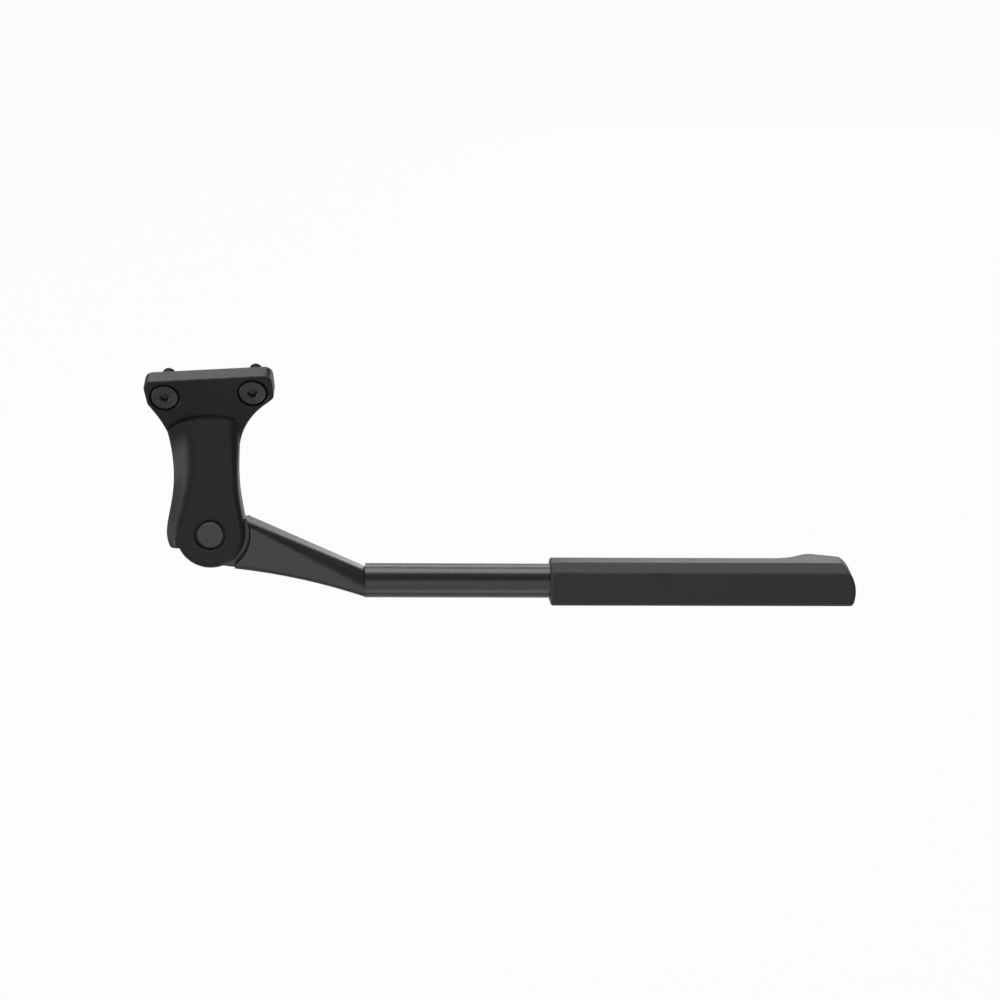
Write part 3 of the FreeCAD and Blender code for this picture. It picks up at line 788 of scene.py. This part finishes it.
@dataclass
class MountingBolts:
    """The two low-head bolts that hold the bracket on the frame's dropout.

    Attributes:
        spacing: Distance between the bolts.
        head_face: Y of the heads' outer faces.
        head_radius: Radius of a head.
        head_height: Height of a head.
        shank_radius: Radius of the plain shank.
        thread_radius: Radius over the thread's crests.
        thread_start: From the head's top to the thread.
        thread_pitch: Pitch of the thread.
        length: From the head's top to the tip.
        socket_width: Width across the socket's flats.
        socket_depth: Depth of the socket.
        socket_turn: Mean turn of the sockets.
        socket_turn_swing: How far each socket is turned from the mean.
    """

    spacing: float = 40 * MM
    head_face: float = -8.5 * MM
    head_radius: float = 6.1 * MM
    head_height: float = 3.4 * MM
    shank_radius: float = 2.68 * MM
    thread_radius: float = 3.0 * MM
    thread_start: float = 8.8 * MM
    thread_pitch: float = 1.0 * MM
    length: float = 21.4 * MM
    socket_width: float = 4.0 * MM
    socket_depth: float = 2.2 * MM
    socket_turn: float = 8.0
    socket_turn_swing: float = 14.0

    def build(self, nodes: dict[str, bpy.types.Object]) -> list[bpy.types.Object]:
        """Model one threaded bolt for each hole.

        Args:
            nodes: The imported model's objects by node name.

        Returns:
            The pieces of this sub-assembly.
        """
        made = []
        for side, name in ((-1, "mounting_bolt_front"), (1, "mounting_bolt_rear")):
            centre = Vector((side * self.spacing / 2, self.head_face, 0.0))
            place = Matrix.Translation(centre) @ Matrix.Rotation(math.radians(-90), 4, "X")
            turn = math.radians(self.socket_turn_swing * side + self.socket_turn)
            screw = SocketScrew(
                name + "_threaded", HeadForm.LOW_CYLINDER,
                head_radius=self.head_radius, head_height=self.head_height,
                shank_radius=self.thread_radius, length=self.length,
                socket_width=self.socket_width, socket_depth=self.socket_depth,
                pitch=self.thread_pitch, thread_start=self.thread_start,
                plain_radius=self.shank_radius)
            bolt = screw.build(place @ Matrix.Rotation(turn, 4, "Z"))
            dress(bolt, BLACK_OXIDE.material("_" + name, Vector((0, 1, 0)), centre))
            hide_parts(name)
            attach(bolt, "mount_side")
            made.append(bolt)
        return made


@dataclass
class HubHinge:
    """Pin, washers, bush and retaining ring of the folding hinge.

    Attributes:
        axis: Direction of the pin.
        centre: A point on the pin's axis.
        dressed: Finish of each piece by node name.
    """

    axis: Vector
    centre: Vector
    dressed: dict[str, Finish] = field(default_factory=lambda: {
        "pivot_pin": SATIN_PIN,
        "pin_washer": PLATED_STEEL,
        "retaining_ring": SPRING_STEEL,
        "thrust_washer_outer": BEARING_BRONZE,
        "thrust_washer_inner": BEARING_BRONZE,
        "hub_bush": BEARING_BRONZE,
    })

    def build(self, nodes: dict[str, bpy.types.Object]) -> list[bpy.types.Object]:
        """Dress the hinge's pieces, their turning marks round the pin's axis.

        Args:
            nodes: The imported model's objects by node name.

        Returns:
            The pieces of this sub-assembly.
        """
        made = []
        for name, finish in self.dressed.items():
            dress(nodes[name], finish.material("_" + name, self.axis, self.centre))
            made.append(nodes[name])
        return made


@dataclass
class SpringDetent:
    """Plunger, spring and seat inside the neck.

    Attributes:
        axis: Direction that the plunger slides along.
        centre: A point on that axis.
    """

    axis: Vector
    centre: Vector

    def build(self, nodes: dict[str, bpy.types.Object]) -> list[bpy.types.Object]:
        """Dress the detent's pieces.

        Args:
            nodes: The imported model's objects by node name.

        Returns:
            The pieces of this sub-assembly.
        """
        made = []
        for name, finish in (("detent_plunger", HARD_STEEL), ("spring_seat", HARD_STEEL),
                             ("detent_spring", SPRING_STEEL)):
            dress(nodes[name], finish.material("_" + name, self.axis, self.centre))
            made.append(nodes[name])
        return made


@dataclass
class FoldingLeg:
    """The forged leg: hub tongue, arm and bar.

    Attributes:
        axis: Direction of the bar.
        centre: A point on the hinge's axis.
    """

    axis: Vector
    centre: Vector

    def build(self, nodes: dict[str, bpy.types.Object]) -> list[bpy.types.Object]:
        """Dress the forging.

        Args:
            nodes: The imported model's objects by node name.

        Returns:
            The pieces of this sub-assembly.
        """
        leg = nodes["leg"]
        dress(leg, FORGED_COAT.material("", self.axis, self.centre))
        return [leg]


@dataclass
class SlidingFoot:
    """Moulded foot, its seal and the clamp screw that sets the length.

    Attributes:
        bar_axis: Direction of the bar.
        hinge_axis: Direction of the hinge's pin, which the screw lies along.
        washer_half: Half the washer's thickness.
        head_radius: Radius of the screw's head.
        head_height: Height of the head.
        head_dome: Size of the round on the head.
        shank_radius: Radius of the plain shank.
        thread_radius: Radius over the thread's crests.
        thread_start: From the head's top to the thread.
        thread_pitch: Pitch of the thread.
        tip_bevel: Size of the bevel at the tip.
        length: From the head's top to the tip.
        socket_width: Width across the socket's flats.
        socket_depth: Depth of the socket.
    """

    bar_axis: Vector
    hinge_axis: Vector
    washer_half: float = 0.5 * MM
    head_radius: float = 4.75 * MM
    head_height: float = 2.7 * MM
    head_dome: float = 1.6 * MM
    shank_radius: float = 2.25 * MM
    thread_radius: float = 2.5 * MM
    thread_start: float = 5.0 * MM
    thread_pitch: float = 0.8 * MM
    tip_bevel: float = 0.5 * MM
    length: float = 14.75 * MM
    socket_width: float = 3.0 * MM
    socket_depth: float = 1.5 * MM

    def build(self, nodes: dict[str, bpy.types.Object]) -> list[bpy.types.Object]:
        """Dress the foot and model its clamp screw.

        Args:
            nodes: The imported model's objects by node name.

        Returns:
            The pieces of this sub-assembly.
        """
        dress(nodes["foot_sleeve"], MOULDED_NYLON.material())
        dress(nodes["sleeve_seal"], RUBBER.material("", self.bar_axis))
        low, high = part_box("foot_washer")
        middle = (low + high) / 2
        dress(nodes["foot_washer"],
              PLATED_STEEL.material("_foot_washer", self.hinge_axis, middle))
        return [nodes["foot_sleeve"], nodes["sleeve_seal"], nodes["foot_washer"],
                self.clamp_screw(middle)]

    def clamp_screw(self, washer_middle: Vector) -> bpy.types.Object:
        """Model the domed clamp screw.

        Args:
            washer_middle: Middle of the washer under its head.

        Returns:
            The finished screw.
        """
        top = washer_middle + self.hinge_axis * (self.washer_half + self.head_height)
        turn = (-self.hinge_axis).to_track_quat("Z", "Y").to_matrix().to_4x4()
        screw = SocketScrew(
            "foot_screw_threaded", HeadForm.BUTTON,
            head_radius=self.head_radius, head_height=self.head_height,
            shank_radius=self.thread_radius, length=self.length,
            socket_width=self.socket_width, socket_depth=self.socket_depth,
            pitch=self.thread_pitch, thread_start=self.thread_start,
            plain_radius=self.shank_radius, rim=self.head_dome, tip_bevel=self.tip_bevel)
        piece = screw.build(Matrix.Translation(top) @ turn)
        dress(piece, BLACK_OXIDE.material("_foot_screw", self.hinge_axis, top))
        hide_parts("foot_screw")
        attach(piece, "leg_side")
        return piece


@dataclass(frozen=True)
class Softbox:
    """One rectangular studio light, aimed at a point.

    Attributes:
        name: Name of the light.
        place: Where it hangs.
        target: What it is aimed at.
        width: Its width.
        height: Its height.
        radiance: How bright its face is.
    """

    name: str
    place: Point
    target: Point
    width: float
    height: float
    radiance: float

    def build(self) -> bpy.types.Object:
        """Add the light.

        Returns:
            The light object.
        """
        light = bpy.data.lights.new(self.name, "AREA")
        light.shape = "RECTANGLE"
        light.size = self.width
        light.size_y = self.height
        light.energy = POWER_PER_RADIANCE * self.width * self.height * self.radiance
        lamp = bpy.data.objects.new(self.name, light)
        bpy.context.scene.collection.objects.link(lamp)
        lamp.visible_camera = False
        aim = Vector(self.target) - Vector(self.place)
        lamp.matrix_world = (Matrix.Translation(Vector(self.place))
                             @ aim.to_track_quat("-Z", "Y").to_matrix().to_4x4())
        return lamp


@dataclass
class Studio:
    """Floor, lamps, world and camera.

    Attributes:
        floor_z: Height of the floor.
        floor_size: Side of the floor.
        floor_colour: Grey of the floor.
        floor_glow: How white the floor shows to the camera.
        floor_gloss: How white the floor shows in a glossy surface.
        mottle_size: Size of the floor's faint mottle.
        mottle_swing: How much lighter the mottle is than the floor.
        world_strength: Grey that the world lights the object with.
        world_glow: What the camera sees of the world, above that grey.
        world_gloss: What a glossy surface mirrors of the world, above that grey.
        distance: From the camera to its target.
        elevation: Angle of the camera above the horizon.
        azimuth: Angle of the camera round the object, from its outer side.
        roll: Turn of the camera about its view.
        target: What the camera is aimed at.
        focal_pixels: Focal length in pixels.
        image_pixels: Width of the image in pixels.
        sensor: Width of the sensor in millimetres.
        nearest: Distance from which the camera sees.
        softboxes: The studio's lights.
    """

    floor_z: float = -0.40
    floor_size: float = 80.0
    floor_colour: float = 0.42
    floor_glow: float = 0.95
    floor_gloss: float = 0.35
    mottle_size: float = 0.4
    mottle_swing: float = 1.01
    world_strength: float = 0.16
    world_glow: float = 0.84
    world_gloss: float = 0.08
    distance: float = 1.2
    elevation: float = 35.63
    azimuth: float = 2.27
    roll: float = -4.08
    target: Point = (0.12767, 0.0, -0.07178)
    focal_pixels: float = 2559.6
    image_pixels: float = 1000.0
    sensor: float = 36.0
    nearest: float = 0.05
    softboxes: tuple[Softbox, ...] = (
        Softbox("top_box", (0.12, 0.26, 0.85), (0.12, 0.0, -0.08), 1.9, 0.62, 3.8),
        Softbox("back_box", (-0.30, 1.9, 0.93), (-0.30, 0.0, -0.05), 1.9, 1.3, 2.5),
        Softbox("front_box", (0.12, -2.2, 0.65), (0.12, 0.0, -0.05), 2.4, 1.4, 1.0),
        Softbox("side_box", (-1.62, -0.66, 0.0), (0.0, 0.0, -0.06), 1.0, 1.0, 3.9),
        Softbox("rear_low_box", (0.42, 1.0, -0.23), (0.30, 0.0, -0.10), 0.50, 0.28, 1.7),
        Softbox("low_box", (0.20, -0.70, -0.24), (0.16, 0.0, -0.09), 0.40, 0.30, 0.7),
        Softbox("floor_box", (0.195, -0.40, -0.385), (0.195, -0.40, 0.0), 0.33, 0.30, 1.3),
    )

    def floor(self) -> bpy.types.Object:
        """Lay a wide pale floor that shows near white and keeps a faint shadow.

        Returns:
            The floor object.
        """
        clear_selection()
        bpy.ops.mesh.primitive_plane_add(size=self.floor_size, location=(0, 0, self.floor_z))
        floor = bpy.context.object
        floor.name = "studio_floor"
        bpy.ops.object.transform_apply(location=True, rotation=True, scale=True)
        graph = NodeGraph("pale_floor")
        mottle = graph.noise(graph.object_point(), self.mottle_size, detail=3.0)
        dull = (self.floor_colour,) * 3
        pale = (self.floor_colour * self.mottle_swing,) * 3
        colour = graph.mix(graph.span(mottle, 0.0, 1.0), dull, pale)
        matt = graph.add("ShaderNodeBsdfDiffuse", {"Color": colour})
        glow = graph.add("ShaderNodeEmission", {"Color": WHITE, "Strength": 1.0})
        share = self.seen(graph, self.floor_glow, self.floor_gloss)
        both = graph.add("ShaderNodeMixShader", {
            0: share, 1: matt.outputs[0], 2: glow.outputs[0]})
        graph.add("ShaderNodeOutputMaterial", {"Surface": both.outputs[0]})
        dress(floor, graph.material)
        floor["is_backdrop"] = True
        return floor

    @staticmethod
    def seen(graph: NodeGraph, glow: float, gloss: float) -> Any:
        """Tell how much of the white backdrop a ray sees.

        Args:
            graph: Graph to build in.
            glow: Share for what the camera sees, also through a clear piece.
            gloss: Share for what a glossy surface mirrors.

        Returns:
            The share's socket.
        """
        path = graph.add("ShaderNodeLightPath")
        direct = graph.add("ShaderNodeMath", {
            0: path.outputs["Is Camera Ray"], 1: path.outputs["Is Transmission Ray"]},
            operation="MAXIMUM")
        mirrored = graph.multiply(path.outputs["Is Glossy Ray"], gloss)
        return graph.add("ShaderNodeMath", {
            0: graph.multiply(direct.outputs[0], glow), 1: mirrored}, operation="ADD").outputs[0]

    def world(self) -> None:
        """Set a dim grey surround that shows white behind the floor."""
        graph = WorldGraph("studio_world")
        lift = self.seen(graph, self.world_glow, self.world_gloss)
        strength = graph.add("ShaderNodeMath", {0: lift, 1: self.world_strength},
                             operation="ADD").outputs[0]
        plain = graph.add("ShaderNodeBackground", {"Color": WHITE, "Strength": strength})
        graph.add("ShaderNodeOutputWorld", {"Surface": plain.outputs[0]})

    def camera(self) -> bpy.types.Object:
        """Set the camera at the photograph's viewing angle.

        Returns:
            The camera object.
        """
        lens = bpy.data.cameras.new("photo_camera")
        lens.sensor_width = self.sensor
        lens.lens = self.focal_pixels / self.image_pixels * self.sensor
        lens.clip_start = self.nearest
        camera = bpy.data.objects.new("photo_camera", lens)
        bpy.context.scene.collection.objects.link(camera)
        rise = math.radians(self.elevation)
        swing = math.radians(self.azimuth)
        back = Vector((math.sin(swing) * math.cos(rise), -math.cos(swing) * math.cos(rise),
                       math.sin(rise)))
        level = (-back).cross(Vector((0, 0, 1))).normalized()
        upright = level.cross(-back)
        tilt = math.radians(self.roll)
        right = math.cos(tilt) * level + math.sin(tilt) * upright
        up = math.cos(tilt) * upright - math.sin(tilt) * level
        spin = Matrix((right, up, back)).transposed().to_4x4()
        camera.matrix_world = Matrix.Translation(Vector(self.target) + self.distance * back) @ spin
        bpy.context.scene.camera = camera
        return camera

    def build(self) -> None:
        """Set up the whole studio."""
        self.floor()
        self.world()
        self.camera()
        for softbox in self.softboxes:
            softbox.build()
        bpy.context.scene.view_settings.view_transform = "Standard"


def main(frame: dict[str, Any], cad_box: Any) -> None:
    """Build every sub-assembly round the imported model.
    """
    joints = {joint["name"]: joint for joint in frame["joints"]}
    hinge_axis = Vector(joints["leg_fold"]["axis"]).normalized()
    hinge_centre = Vector(joints["leg_fold"]["pos_m"])
    bar_axis = Vector(joints["foot_slide"]["axis"]).normalized()
    neck_axis = Vector(joints["detent_drop"]["axis"]).normalized()
    fork_middle = 10 * MM
    detent_centre = hinge_centre + hinge_axis * fork_middle
    assemblies = (
        BracketCasting(),
        MountingBolts(),
        HubHinge(hinge_axis, hinge_centre),
        SpringDetent(neck_axis, detent_centre),
        FoldingLeg(bar_axis, hinge_centre),
        SlidingFoot(bar_axis, hinge_axis),
    )
    for assembly in assemblies:
        for piece in assembly.build(frame["nodes"]):
            log.info("%s: %s, %d faces", type(assembly).__name__, piece.name,
                     len(piece.data.polygons))
    Studio().build()


if __name__ == "__main__":
    logging.basicConfig(level=logging.INFO, format="%(message)s")
    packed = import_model()
    main(packed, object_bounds())
